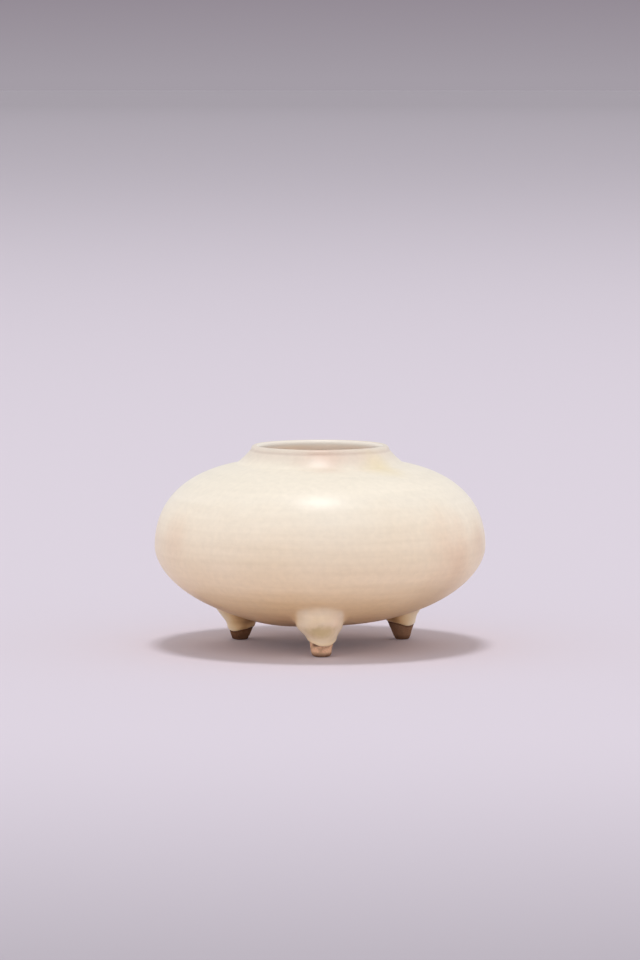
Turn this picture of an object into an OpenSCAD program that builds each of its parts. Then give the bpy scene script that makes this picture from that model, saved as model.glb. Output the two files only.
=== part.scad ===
// Chinese water coupe: a squat thrown water pot with a low collar and three tapered feet.
// Millimetres, +Z up. The origin is on the table under the pot's axis, and one foot faces -Y.
// The pot is made as a potter makes it: two thrown bowls and a mouth ring luted together with
// slip, three feet luted to the underside, and a coat of glaze outside and inside.

/* [Body] */
// Width of the clay body at the belly, under the glaze
belly_d = 89.3; // [74:0.1:110]
// Height of the belly line above the table
belly_z = 27.2; // [25:0.1:34]
// Rise of the shoulder curve from the belly line to its crown on the axis
shoulder_rise = 23.4; // [18:0.1:32]
// Drop of the base curve from the belly line to the middle of the underside
base_drop = 21.1; // [17:0.1:23]
// Exponent on the radius of the shoulder curve: 2 is an ellipse, more is flatter on top
shoulder_flat = 3.2; // [2.4:0.1:4]
// Exponent on the height of the shoulder curve: more makes the upper belly stand more upright
shoulder_swell = 2.2; // [1.8:0.1:2.8]
// Exponent on the radius of the base curve: more is flatter underneath
base_flat = 2.2; // [1.9:0.1:3]
// Exponent on the height of the base curve: more makes the lower belly stand more upright
base_swell = 1.8; // [1.6:0.1:2.4]
// Thickness of the thrown wall at the belly and the shoulder
wall_t = 3.2; // [2.2:0.1:4.5]
// Thickness of the floor in the middle of the lower bowl
floor_t = 3.6; // [2.4:0.1:6]

/* [Mouth] */
// Diameter of the circle along the crest of the lip
lip_d = 35.2; // [28:0.1:44]
// Thickness of the clay in the rounded lip
lip_t = 1.8; // [1:0.1:2.4]
// How far the lip's bead stands out from the face of the collar
lip_stand = 0.4; // [0.1:0.05:0.5]
// Rise of the lip's crest above the shoulder at the foot of the collar
collar_rise = 4.9; // [3:0.1:8]
// Spread of the collar from the lip's crest out to its foot on the shoulder
collar_spread = 4.3; // [2.5:0.1:6]
// Length of the easing curve from the foot of the collar into the shoulder
collar_ease = 1.3; // [0.5:0.1:3]
// Distance from the lip's crest out to the upright joint between mouth ring and shoulder
ring_t = 2.8; // [1.6:0.1:4]

/* [Feet] */
// Diameter of the circle through the middles of the three feet
foot_circle_d = 51.4; // [40:0.1:60]
// Diameter of the front foot at the height where its axis meets the underside
front_root_d = 13; // [10:0.1:14]
// Diameter of the front foot's bare tip, just above its rounded edge
front_tip_d = 5.5; // [4:0.1:7]
// Diameter of each rear foot at the height where its axis meets the underside
rear_root_d = 10; // [8:0.1:14]
// Diameter of each rear foot's bare tip, just above its rounded edge
rear_tip_d = 4.5; // [3.4:0.1:7]
// Radius of the worn edge round the resting face of a foot
foot_edge_r = 0.5; // [0.2:0.1:1.2]
// Exponent of the foot's taper: 1 is a straight cone, more is more hollow-sided
foot_flare = 1.25; // [1:0.05:1.4]
// Height of the bare clay tip, up to the lower edge of the glaze
bare_tip_h = 3.6; // [2:0.1:5]

/* [Glaze and slip] */
// Thickness of the glaze coat
glaze_t = 0.35; // [0.2:0.05:0.6]
// Extra thickness of the rolled edge where the glaze stopped on a foot
glaze_roll_t = 0.25; // [0.1:0.05:0.5]
// Height of that rolled edge
glaze_roll_h = 1.1; // [0.5:0.1:2]
// Thickness of the slip in a luted joint
slip_t = 0.4; // [0.2:0.05:0.8]

/* [Hidden] */
$fn = 96;

clay_colour = "#c79f82";
bare_clay_colour = "#b58d74";
slip_colour = "#9c8470";
glaze_colour = "#f1e6d5";

// Straight steps in each quarter of the body, in the collar, in the lip and in a foot
body_steps = 24;
collar_steps = 8;
lip_steps = 6;
foot_steps = 9;

belly_r = belly_d / 2;
lip_r = lip_d / 2;
foot_circle_r = foot_circle_d / 2;

// Bearing about the pot's axis, root radius and tip radius of each foot
front_foot = [270, front_root_d / 2, front_tip_d / 2];
left_foot = [150, rear_root_d / 2, rear_tip_d / 2];
right_foot = [30, rear_root_d / 2, rear_tip_d / 2];
feet = [front_foot, left_foot, right_foot];

collar_foot_r = lip_r + collar_spread;
collar_end_r = collar_foot_r + collar_ease;
neck_joint_r = lip_r + ring_t;
lip_crest_z = shoulder_z(collar_foot_r, 0) + collar_rise;
lip_centre_z = lip_crest_z - lip_t / 2;
// Angle of the collar's outward normal above the horizontal
collar_normal = atan2(collar_spread, collar_rise - lip_t / 2);
// Height of the underside above a foot's axis
foot_h = base_z(foot_circle_r, 0);

// Heights of the body's outer curves at a radius, grown outwards by a coat's thickness
function shoulder_z(r, coat) = belly_z
    + (shoulder_rise + coat) * pow(1 - pow(r / (belly_r + coat), shoulder_flat), 1 / shoulder_swell);
function base_z(r, coat) = belly_z
    - (base_drop + coat) * pow(1 - pow(r / (belly_r + coat), base_flat), 1 / base_swell);

// Angle along a quarter curve at which its radius is r
function angle_at(r, full_r, flat) = acos(pow(r / full_r, flat / 2));
// Points of a quarter curve with half-width w and height h, from one angle to another
function quarter(w, h, flat, swell, from, to) = [
    for (i = [0:body_steps])
        let (a = from + (to - from) * i / body_steps)
        [w * pow(cos(a), 2 / flat), h * pow(sin(a), 2 / swell)]
];
// Base and shoulder as outlines from the axis up to the collar's end
function base_curve(w, h) = [
    for (p = quarter(w, h, base_flat, base_swell, 90, 0)) [p.x, belly_z - p.y]
];
function shoulder_curve(w, h) = [
    for (p = quarter(w, h, shoulder_flat, shoulder_swell, 0, angle_at(collar_end_r, w, shoulder_flat)))
        [p.x, belly_z + p.y]
];
// Curve from a to c that leaves and arrives along the lines to b
function bend(a, b, c) = [
    for (i = [0:collar_steps])
        let (t = i / collar_steps)
        a * (1 - t) * (1 - t) + b * 2 * t * (1 - t) + c * t * t
];
// Angle on the lip's bead at which the collar leaves it
function lip_under_angle(coat) = collar_normal - acos((lip_t / 2 - lip_stand + coat) / (lip_t / 2 + coat));
function lip_point(coat, angle) =
    [lip_r + (lip_t / 2 + coat) * cos(angle), lip_centre_z + (lip_t / 2 + coat) * sin(angle)];
function lip_curve(coat, from, to) = [
    for (i = [0:lip_steps]) lip_point(coat, from + (to - from) * i / lip_steps)
];
function tail(points) = [for (i = [1:len(points) - 1]) points[i]];
function reversed(points) = [for (i = [len(points) - 1:-1:0]) points[i]];

// Outside of the pot from the middle of the underside to the crest of the lip
function outside(coat) = concat(
    base_curve(belly_r + coat, base_drop + coat),
    tail(shoulder_curve(belly_r + coat, shoulder_rise + coat)),
    tail(bend([collar_end_r, shoulder_z(collar_end_r, coat)],
              [collar_foot_r + coat / 2, shoulder_z(collar_foot_r + coat / 2, coat)],
              lip_point(coat, lip_under_angle(coat)))),
    tail(lip_curve(coat, lip_under_angle(coat), 90))
);

// Inside of the pot from the crest of the lip, down the upright throat, to the middle of the floor
function inside(coat) =
    let (
        w = belly_r - wall_t - coat,
        shoulder = reversed(shoulder_curve(w, shoulder_rise - wall_t - coat)),
        throat_top = lip_point(coat, 180),
        throat_foot = [throat_top.x, shoulder[0].y]
    )
    concat(
        lip_curve(coat, 90, 180),
        tail(bend(throat_top, throat_foot, shoulder[0])),
        tail(shoulder),
        tail(reversed(base_curve(w, base_drop - floor_t - coat)))
    );

// What a foot's list holds
function bearing(foot) = foot[0];
function root_r(foot) = foot[1];
function tip_r(foot) = foot[2];
// Height of the blank that a foot is cut from, whose top lies inside the body
function blank_h(foot) = base_z(foot_circle_r + 1.8 * root_r(foot), 0);
// Radius of a foot at a height, and the glaze over it
function foot_r(foot, z) = tip_r(foot) + (root_r(foot) - tip_r(foot))
    * pow(max(0, z - foot_edge_r) / (foot_h - foot_edge_r), foot_flare);
function glaze_over(z) = glaze_t
    + glaze_roll_t * max(0, 1 - pow((z - bare_tip_h) / glaze_roll_h, 2));

module pot_wall() {
    polygon(concat(outside(0), tail(inside(0))));
}

// The whole section on one side of the axis, from one height and radius upwards and outwards
module section_band(r_from, r_to, z_from, z_to) {
    rotate_extrude()
        intersection() {
            pot_wall();
            translate([r_from, z_from])
                square([r_to - r_from, z_to - z_from]);
        }
}

// The lower half of the body as a filled solid, grown by a coat
module filled_base(coat) {
    rotate_extrude()
        polygon(concat(base_curve(belly_r + coat, base_drop + coat), [[0, belly_z]]));
}

module at_foot(foot) {
    rotate([0, 0, bearing(foot)])
        translate([foot_circle_r, 0, 0])
            children();
}

// A foot before its top is cut to the underside
module foot_blank(foot) {
    face_r = tip_r(foot) - foot_edge_r;
    edge = [for (a = [0, 30, 60, 90]) [face_r + foot_edge_r * sin(a), foot_edge_r * (1 - cos(a))]];
    side = [
        for (i = [1:foot_steps])
            let (z = foot_edge_r + (blank_h(foot) - foot_edge_r) * i / foot_steps)
            [foot_r(foot, z), z]
    ];
    at_foot(foot)
        rotate_extrude()
            polygon(concat([[0, 0]], edge, side, [[0, blank_h(foot)]]));
}

// The glaze on a foot before the clay is taken out of it
module foot_glaze_blank(foot) {
    roll = [
        for (i = [0:3])
            let (z = bare_tip_h + glaze_roll_h * i / 4)
            [foot_r(foot, z) + glaze_over(z), z]
    ];
    side_from = bare_tip_h + glaze_roll_h;
    side = [
        for (i = [0:foot_steps])
            let (z = side_from + (blank_h(foot) - side_from) * i / foot_steps)
            [foot_r(foot, z) + glaze_t, z]
    ];
    at_foot(foot)
        rotate_extrude()
            polygon(concat([[0, bare_tip_h]], roll, side, [[0, blank_h(foot)]]));
}

// A foot with its top cut to sit on the slip under the body
module luted_foot(foot) {
    color(bare_clay_colour)
        difference() {
            foot_blank(foot);
            filled_base(slip_t);
        }
}

// Thrown lower bowl, up to the luted joint at the belly
module lower_bowl() {
    color(clay_colour)
        section_band(0, belly_d, 0, belly_z - slip_t / 2);
}

// Thrown upper bowl, from the belly joint to the upright cut round the mouth
module upper_bowl() {
    color(clay_colour)
        section_band(neck_joint_r + slip_t / 2, belly_d, belly_z + slip_t / 2, belly_z + belly_d);
}

// Collar with its rounded lip, set into the cut in the upper bowl
module mouth_ring() {
    color(clay_colour)
        section_band(0, neck_joint_r - slip_t / 2, belly_z + slip_t / 2, belly_z + belly_d);
}

module foot_front() {
    luted_foot(front_foot);
}

module foot_left() {
    luted_foot(left_foot);
}

module foot_right() {
    luted_foot(right_foot);
}

// Slip that lutes the two bowls at the belly
module belly_slip() {
    color(slip_colour)
        section_band(0, belly_d, belly_z - slip_t / 2, belly_z + slip_t / 2);
}

// Slip that lutes the mouth ring into the upper bowl
module neck_slip() {
    color(slip_colour)
        section_band(neck_joint_r - slip_t / 2, neck_joint_r + slip_t / 2,
                     belly_z + slip_t / 2, belly_z + belly_d);
}

// Slip pads that lute the feet to the underside
module foot_slip() {
    color(slip_colour)
        for (foot = feet)
            difference() {
                intersection() {
                    foot_blank(foot);
                    filled_base(slip_t);
                }
                filled_base(0);
            }
}

// Glaze over the outside and the roots of the feet, which leaves the tips bare
module outer_glaze() {
    color(glaze_colour)
        difference() {
            union() {
                rotate_extrude()
                    polygon(concat(outside(glaze_t), reversed(outside(0))));
                for (foot = feet)
                    difference() {
                        foot_glaze_blank(foot);
                        filled_base(glaze_t / 2);
                    }
            }
            for (foot = feet)
                foot_blank(foot);
        }
}

// Glaze poured over the inside, which meets the outer coat on the lip
module inner_glaze() {
    color(glaze_colour)
        rotate_extrude()
            polygon(concat(inside(0), reversed(inside(glaze_t))));
}

lower_bowl();
upper_bowl();
mouth_ring();
foot_front();
foot_left();
foot_right();
belly_slip();
neck_slip();
foot_slip();
outer_glaze();
inner_glaze();
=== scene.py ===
# %% [markdown]
# # A thrown water pot on three feet
# The object is a small stoneware pot that held water on a writing desk: a squat round body, a low
# collar round the mouth and three tapered feet, all under one cream glaze. The construction gives
# each piece of clay its place. This lesson gives the pot its skin: the glaze as it ran and pooled,
# the faint rings from the potter's wheel, and the bare clay of the foot tips.

import math
from types import SimpleNamespace

import bmesh
import bpy
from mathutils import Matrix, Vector, noise


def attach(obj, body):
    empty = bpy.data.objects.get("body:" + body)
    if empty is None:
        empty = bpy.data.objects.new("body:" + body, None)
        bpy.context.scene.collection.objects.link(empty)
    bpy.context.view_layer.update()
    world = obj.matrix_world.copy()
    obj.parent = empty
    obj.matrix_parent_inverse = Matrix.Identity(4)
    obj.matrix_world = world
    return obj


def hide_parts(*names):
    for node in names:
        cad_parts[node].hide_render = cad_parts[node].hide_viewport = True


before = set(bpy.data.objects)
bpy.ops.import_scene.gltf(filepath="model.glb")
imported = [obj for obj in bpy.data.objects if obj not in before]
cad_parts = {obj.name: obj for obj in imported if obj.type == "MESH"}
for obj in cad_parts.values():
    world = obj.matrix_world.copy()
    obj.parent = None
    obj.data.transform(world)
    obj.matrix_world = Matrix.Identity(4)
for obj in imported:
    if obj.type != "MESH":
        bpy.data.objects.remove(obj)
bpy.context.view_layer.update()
MM = 0.001
print("nodes:", ", ".join(sorted(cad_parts)))

# %% [markdown]
# ## Camera
# A long lens from far away keeps the feet and the lip nearly parallel to the picture, which is how
# such a pot is photographed. The picture is 640 pixels wide, so one focal length in pixels gives the
# lens. The camera stands a little above the pot and aims over it, so the pot sits low in the frame.
# The function "show" puts a new object into the scene, and later cells use it too.

# %% Camera
PICTURE_W = 640
FOCAL_PX = 4599
CAMERA_DISTANCE = 1250 * MM
CAMERA_ELEVATION = math.radians(5.81)
LOOK_AT = Vector((0, 0, 27 * MM))
AIM_ABOVE = 17.94 * MM


def show(name, data):
    made = bpy.data.objects.new(name, data)
    bpy.context.scene.collection.objects.link(made)
    return made


back = Vector((0, -math.cos(CAMERA_ELEVATION), math.sin(CAMERA_ELEVATION)))
up = Vector((0, math.sin(CAMERA_ELEVATION), math.cos(CAMERA_ELEVATION)))
lens = bpy.data.cameras.new("camera")
lens.sensor_fit = "HORIZONTAL"
lens.sensor_width = 36
lens.lens = FOCAL_PX / PICTURE_W * lens.sensor_width
lens.clip_end = 200
camera = show("camera", lens)
camera.location = LOOK_AT + back * CAMERA_DISTANCE
aim = LOOK_AT + up * AIM_ABOVE - camera.location
camera.rotation_euler = aim.to_track_quat("-Z", "Y").to_euler()
bpy.context.scene.camera = camera
print("lens in mm:", round(lens.lens, 1))

# %% [markdown]
# ## One helper for nodes
# Materials and Geometry Nodes trees are both built from nodes, so one small function serves them
# all. It makes a node, sets its properties and fills its sockets: a value is written into the socket,
# and another node is linked to it by its first output that is in use. Colours are written as the hex
# codes that a paint program shows, and one function turns them into the linear numbers that light
# adds up in.

# %% Nodes and colours
def add(tree, kind, inputs=None, **settings):
    made = tree.nodes.new(kind)
    for name, value in settings.items():
        setattr(made, name, value)
    for key, value in (inputs or {}).items():
        if isinstance(key, int):
            socket = made.inputs[key]
        else:
            socket = next(s for s in made.inputs if key in (s.identifier, s.name))
        if isinstance(value, bpy.types.Node):
            value = next(s for s in value.outputs if s.enabled)
        if isinstance(value, bpy.types.NodeSocket):
            tree.links.new(value, socket)
        else:
            socket.default_value = value
    return made


def linear(code):
    channels = [int(code[i:i + 2], 16) / 255 for i in (1, 3, 5)]
    return [c / 12.92 if c <= 0.04045 else ((c + 0.055) / 1.055) ** 2.4 for c in channels] + [1]


def new_material(name):
    material = bpy.data.materials.new(name)
    material.use_nodes = True
    material.node_tree.nodes.clear()
    return material


print("cream in linear light:", [round(c, 3) for c in linear("#F1E6D5")])

# %% [markdown]
# ## Floor
# The pot stands on plain pale paper that runs far out, so no wall gets in the way of another view. A
# wall or a curved sweep of paper could give the background its shade, but painted shade in the paper's
# own colour is simpler: it is palest round the pot, and painted darker far behind it and towards the
# camera.
# The sizes of the floor and of the lamp are in metres.

# %% Floor
FLOOR_HALF = 60
DIM_FROM = 2
DIM_TO = 25
DIM_SHARE = 0.8
FRONT_FROM = 0.15
FRONT_TO = 0.7
FRONT_SHARE = 0.47

floor_paper = new_material("matt_studio_paper")
tree = floor_paper.node_tree
place = add(tree, "ShaderNodeTexCoord").outputs["Object"]
front = add(tree, "ShaderNodeSeparateXYZ", {0: place}).outputs["Y"]
near = add(tree, "ShaderNodeMapRange", {"Value": front, "From Min": -FRONT_FROM, "From Max": -FRONT_TO,
                                        "To Min": 1, "To Max": FRONT_SHARE},
           interpolation_type="SMOOTHSTEP")
away = add(tree, "ShaderNodeVectorMath", {0: place}, operation="LENGTH")
dim = add(tree, "ShaderNodeMapRange", {"Value": away, "From Min": DIM_FROM, "From Max": DIM_TO,
                                       "To Min": near, "To Max": DIM_SHARE})
tone = add(tree, "ShaderNodeMix", {"Factor_Float": 1, "A_Color": linear("#DCD3DF"), "B_Color": dim},
           data_type="RGBA", blend_type="MULTIPLY")
shader = add(tree, "ShaderNodeBsdfPrincipled", {"Base Color": tone, "Roughness": 0.9,
                                                "Specular IOR Level": 0.1})
add(tree, "ShaderNodeOutputMaterial", {"Surface": shader})

corners = [(x * FLOOR_HALF, y * FLOOR_HALF, 0) for x, y in ((-1, -1), (1, -1), (1, 1), (-1, 1))]
floor_mesh = bpy.data.meshes.new("studio_floor")
floor_mesh.from_pydata(corners, [], [(0, 1, 2, 3)])
floor_mesh.materials.append(floor_paper)
floor = show("studio_floor", floor_mesh)
print("floor in m:", 2 * FLOOR_HALF)

# %% [markdown]
# ## Lamp
# One round soft lamp hangs high above, a little nearer to the camera than the pot. The pot's only
# sharp highlight lies where the shoulder faces halfway between the camera and the lamp, and its
# shadow lies right under it. The lamp's power is worked out from the share of the light on the floor
# that it should give, because its light thins out with the square of the height.

# %% Lamp
LAMP_HEIGHT = 5
LAMP_WIDTH = 1.2
LAMP_FORWARD = 0.2
LAMP_SHARE = 0.385

lamp_data = bpy.data.lights.new("overhead_lamp", "AREA")
lamp_data.shape = "DISK"
lamp_data.size = LAMP_WIDTH
lamp_data.energy = LAMP_SHARE * math.pi ** 2 * LAMP_HEIGHT ** 2
lamp = show("overhead_lamp", lamp_data)
lamp.location = (0, -LAMP_FORWARD, LAMP_HEIGHT)
print("lamp in W:", round(lamp_data.energy, 1))

# %% [markdown]
# ## Sky and backdrop
# A white room fills in the rest of the light. It is brightest low down, so the belly stays nearly as
# bright as the shoulder, and dim behind the pot, so no pale rim shows round the outline. Lamp and sky
# add up to about one on the floor, so colours render as written. The camera doesn't see this sky. It
# sees a plain backdrop that carries on the shade of the far floor, which hides the horizon.

# %% Sky and backdrop
SKY_TOP = 0.485
SKY_LOW = 1.17
SKY_BEHIND = 0.25
SIDE = 0.2
HAZE_RISE = 0.02

world = bpy.data.worlds.new("studio_sky")
world.use_nodes = True
tree = world.node_tree
tree.nodes.clear()
towards = add(tree, "ShaderNodeTexCoord").outputs["Generated"]
towards = add(tree, "ShaderNodeSeparateXYZ", {0: towards}).outputs
low = add(tree, "ShaderNodeMath", {0: 1, 1: towards["Z"]}, operation="SUBTRACT", use_clamp=True)
low = add(tree, "ShaderNodeMath", {0: low, 1: 2}, operation="POWER")
behind = add(tree, "ShaderNodeMapRange", {"Value": towards["Y"], "From Min": SIDE, "To Min": 1,
                                          "To Max": SKY_BEHIND}, interpolation_type="SMOOTHSTEP")
low = add(tree, "ShaderNodeMath", {0: low, 1: behind}, operation="MULTIPLY")
strength = add(tree, "ShaderNodeMath", {0: low, 1: SKY_LOW, 2: SKY_TOP}, operation="MULTIPLY_ADD")
sky = add(tree, "ShaderNodeBackground", {"Color": (1, 1, 1, 1), "Strength": strength})
rise = add(tree, "ShaderNodeMapRange", {"Value": towards["Z"], "From Max": HAZE_RISE})
front = add(tree, "ShaderNodeMapRange", {"Value": towards["Y"], "From Min": SIDE, "From Max": -SIDE})
dim = add(tree, "ShaderNodeMath", {0: rise, 1: front}, operation="MAXIMUM")
haze = add(tree, "ShaderNodeMix", {"Factor_Float": dim, "A_Color": linear("#A49DA6"),
                                   "B_Color": linear("#928993")}, data_type="RGBA")
backdrop = add(tree, "ShaderNodeBackground", {"Color": haze, "Strength": 1})
seen_by = add(tree, "ShaderNodeLightPath")
either = add(tree, "ShaderNodeMixShader", {0: seen_by.outputs["Is Camera Ray"], 1: sky, 2: backdrop})
add(tree, "ShaderNodeOutputWorld", {"Surface": either})
bpy.context.scene.world = world
bpy.context.scene.view_settings.view_transform = "Standard"
print("sky at its foot and its top:", SKY_TOP + SKY_LOW, SKY_TOP)

# %% [markdown]
# ## The cream glaze
# The coat is a stoneware glaze of feldspar and ash, opaque and satin-smooth, that the pot was dipped
# in. How white it looks depends on how thick it lies: it is whitest on the shoulder and warmer where
# it thins towards the base. The dark brown low end of the colours is also painted shade, on the
# underside that faces the shaded floor. So the tree first works out a thickness from the height, then
# disturbs it with soft patches a few centimetres wide and with the faint streaks of the wheel, and only
# then looks up the colour. All patterns are read from the object's own coordinates, so they stay put.
# On the feet the coat has its own thickness, which on the rear feet also holds painted shade and light,
# and the skin carries it as the attribute "foot_lift".

# %% Cream glaze: thickness and colour
# The dark brown low steps are partly painted shade on the underside, which faces the shaded floor.
GLAZE_AND_SHADE_COLOURS = ((0, "#6E4C32"), (5, "#A6805C"), (7.5, "#C79E71"), (10, "#DFB98A"), (13, "#E9C99B"),
                 (20, "#F1DAB8"), (30, "#F3E1C8"), (42, "#F4EADA"))
GLAZE_TOP = 54.7
PATCH = 8 * MM
PATCH_SIZE = 22 * MM
STREAK = 4 * MM
STREAK_SHAPE = Vector((45, 45, 1.8)) * MM
MEAN_SHIFT = (PATCH + STREAK) / 2

cream_glaze = new_material("cream_stoneware_glaze")
tree = cream_glaze.node_tree
place = add(tree, "ShaderNodeTexCoord").outputs["Object"]
axes = add(tree, "ShaderNodeSeparateXYZ", {0: place}).outputs
foot_lift = add(tree, "ShaderNodeAttribute", attribute_name="foot_lift").outputs["Fac"]
patches = add(tree, "ShaderNodeTexNoise", {"Vector": place, "Scale": 1 / PATCH_SIZE, "Detail": 2})
squashed = add(tree, "ShaderNodeVectorMath", {0: place, 1: STREAK_SHAPE}, operation="DIVIDE")
streaks = add(tree, "ShaderNodeTexNoise", {"Vector": squashed, "Scale": 1, "Detail": 2})
colour_height = add(tree, "ShaderNodeMath", {0: axes["Z"], 1: foot_lift}, operation="ADD")
colour_height = add(tree, "ShaderNodeMath", {0: patches, 1: PATCH, 2: colour_height}, operation="MULTIPLY_ADD")
colour_height = add(tree, "ShaderNodeMath", {0: streaks, 1: STREAK, 2: colour_height}, operation="MULTIPLY_ADD")
colour_height = add(tree, "ShaderNodeMapRange", {"Value": colour_height, "From Min": MEAN_SHIFT,
                                         "From Max": MEAN_SHIFT + GLAZE_TOP * MM})
colour = add(tree, "ShaderNodeValToRGB", {"Fac": colour_height})
stops = colour.color_ramp.elements
while len(stops) < len(GLAZE_AND_SHADE_COLOURS):
    stops.new(1)
for stop, (z, code) in zip(stops, GLAZE_AND_SHADE_COLOURS):
    stop.position = z / GLAZE_TOP
    stop.color = linear(code)
print("colours by thickness:", len(GLAZE_AND_SHADE_COLOURS))

# %% [markdown]
# Some places have their own tint, and some carry painted shade. The whole collar is a little greyer,
# partly its own colour and partly painted shade that damps the lamp's sheen there. A narrow band in
# the groove under the lip is a painted shadow of the lip. The table of spots then holds, with places
# and reach in millimetres, a tint and its share: two pink blushes on the front of the collar, which
# are also painted shade on its sheen, a yellow pool beside it, a tan blush on the right of the belly,
# painted shade on both sides of the belly where it turns away, painted shade low down on the right and
# left, and a pale pink one on the front foot that is partly painted light on its downturned face. A
# distance from a point, eased from one to zero, gives each spot a soft edge, and a slow noise added to
# that distance lets the edge wander.

# %% Cream glaze: tints
SPOTS = (
    # Pink on the front of the collar, partly painted shade on the lamp's sheen there.
    ((1, -19.8, 53.4), 9, "#DDBBA8", 0.62),
    ((10.5, -17.5, 53), 8, "#E2CBBC", 0.45),
    ((16.6, -16.8, 50.3), 8.5, "#F0DDB4", 0.65),
    ((36, -26, 27.5), 13, "#E9C4A6", 0.55),
    # Painted shade where the belly turns away, on the right and on the left.
    ((43, -13, 30.5), 8, "#DDB999", 0.4),
    ((-39, -21.5, 31), 9, "#E6C3A8", 0.3),
    # Painted shade low down, on the right and on the left.
    ((33, -21.5, 16.5), 14, "#CEB08C", 0.45),
    ((-30.5, -12, 13), 9, "#C6A480", 0.5),
    # A pale pink tint, partly painted light on the front foot's downturned face.
    ((4, -31, 9), 5, "#FBDDC6", 0.5),
)
SPOT_CORE = 0.4
SPOT_END = 1.6
WANDER_SIZE = 11 * MM
COLLAR_FROM = 49.8 * MM
COLLAR_TO = 52.8 * MM
GROOVE_Z = 53.3 * MM
GROOVE_REACH = 0.5 * MM

# The collar's grey is partly its own colour and partly painted shade over the lamp's sheen.
collar = add(tree, "ShaderNodeMapRange", {"Value": axes["Z"], "From Min": COLLAR_FROM, "To Max": 0.5,
                                          "From Max": COLLAR_TO}, interpolation_type="SMOOTHSTEP")
# Painted shadow of the lip in the groove under it.
groove_shadow = add(tree, "ShaderNodeMath", {0: axes["Z"], 1: GROOVE_Z}, operation="SUBTRACT")
groove_shadow = add(tree, "ShaderNodeMath", {0: groove_shadow}, operation="ABSOLUTE")
groove_shadow = add(tree, "ShaderNodeMapRange", {"Value": groove_shadow, "From Max": GROOVE_REACH, "To Min": 0.4,
                                          "To Max": 0}, interpolation_type="SMOOTHSTEP")
greyer_and_shaded = add(tree, "ShaderNodeMath", {0: collar, 1: groove_shadow}, operation="ADD")
tints_and_shades = [(greyer_and_shaded, "#DACABD")]
wander = add(tree, "ShaderNodeTexNoise", {"Vector": place, "Scale": 1 / WANDER_SIZE, "Detail": 3})
for centre, reach, code, share in SPOTS:
    away = add(tree, "ShaderNodeVectorMath", {0: place, 1: Vector(centre) * MM}, operation="DISTANCE")
    away = add(tree, "ShaderNodeMath", {0: wander, 1: reach * MM, 2: away}, operation="MULTIPLY_ADD")
    near = add(tree, "ShaderNodeMapRange", {"Value": away, "From Min": SPOT_CORE * reach * MM,
                                            "From Max": SPOT_END * reach * MM, "To Min": share,
                                            "To Max": 0}, interpolation_type="SMOOTHSTEP")
    tints_and_shades.append((near, code))
print("tinted spots:", len(SPOTS))

# %% [markdown]
# On the feet the glaze ran down and stopped. It pooled olive on the front foot, a few millimetres
# above its edge, and the olive is also painted shade across the foot's downturned face. The rolled
# edge there is pale, partly as painted light on an edge that faces down, and it is drawn on the front
# foot only. The skin's attribute "above_edge" tells how far up a point lies. A Mapping node of the
# texture kind puts the middle of the pool at zero and its edge at one, so the length of the result is
# a distance that an oval pool can use.

# %% Cream glaze: edge on the feet
POOL = Vector((0.2, -30.6, 7.3)) * MM
POOL_SHAPE = Vector((5.6, 4.6, 2.6)) * MM
POOL_CORE = 0.6
POOL_RAGGED = 0.6
MOTTLE_SIZE = 1.6 * MM
ROLL_FROM = 0.4 * MM
ROLL_TO = 1.3 * MM
FRONT_FOOT_TO = -15 * MM

above = add(tree, "ShaderNodeAttribute", attribute_name="above_edge").outputs["Fac"]
front = add(tree, "ShaderNodeMapRange", {"Value": axes["Y"], "From Min": FRONT_FOOT_TO, "From Max": 0,
                                         "To Min": 1, "To Max": 0})
# Pale roll: thick glaze, and partly painted light on the downturned edge.
roll = add(tree, "ShaderNodeMapRange", {"Value": above, "From Min": ROLL_FROM, "From Max": ROLL_TO,
                                        "To Min": 0.8, "To Max": 0}, interpolation_type="SMOOTHSTEP")
roll = add(tree, "ShaderNodeMath", {0: roll, 1: front}, operation="MULTIPLY")
mottle = add(tree, "ShaderNodeTexNoise", {"Vector": place, "Scale": 1 / MOTTLE_SIZE, "Detail": 2})
# Olive pool: pooled glaze, and partly painted shade on the foot's lower face.
away = add(tree, "ShaderNodeMapping", {"Vector": place, "Location": POOL, "Scale": POOL_SHAPE},
           vector_type="TEXTURE")
away = add(tree, "ShaderNodeVectorMath", {0: away}, operation="LENGTH")
away = add(tree, "ShaderNodeMath", {0: mottle, 1: POOL_RAGGED, 2: away}, operation="MULTIPLY_ADD")
pool_and_shade = add(tree, "ShaderNodeMapRange", {"Value": away, "From Min": POOL_CORE,
                                        "From Max": 1 + POOL_RAGGED / 2, "To Min": 0.7, "To Max": 0},
           interpolation_type="SMOOTHSTEP")
tints_and_shades += [(pool_and_shade, "#D4BC88"), (roll, "#FFE6BE")]
print("pool in mm:", [round(c / MM, 1) for c in POOL])

# %% [markdown]
# Last comes the surface. The tints are laid over each other in turn, and the mottling and the
# streaks shift the colour by a hair. The gloss is that of eggshell, and a fine orange-peel bump, a
# few thousandths of a millimetre high, keeps the highlight from looking like plastic.

# %% Cream glaze: surface
PEEL_SIZE = 1.1 * MM
PEEL_HEIGHT = 0.008 * MM

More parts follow.
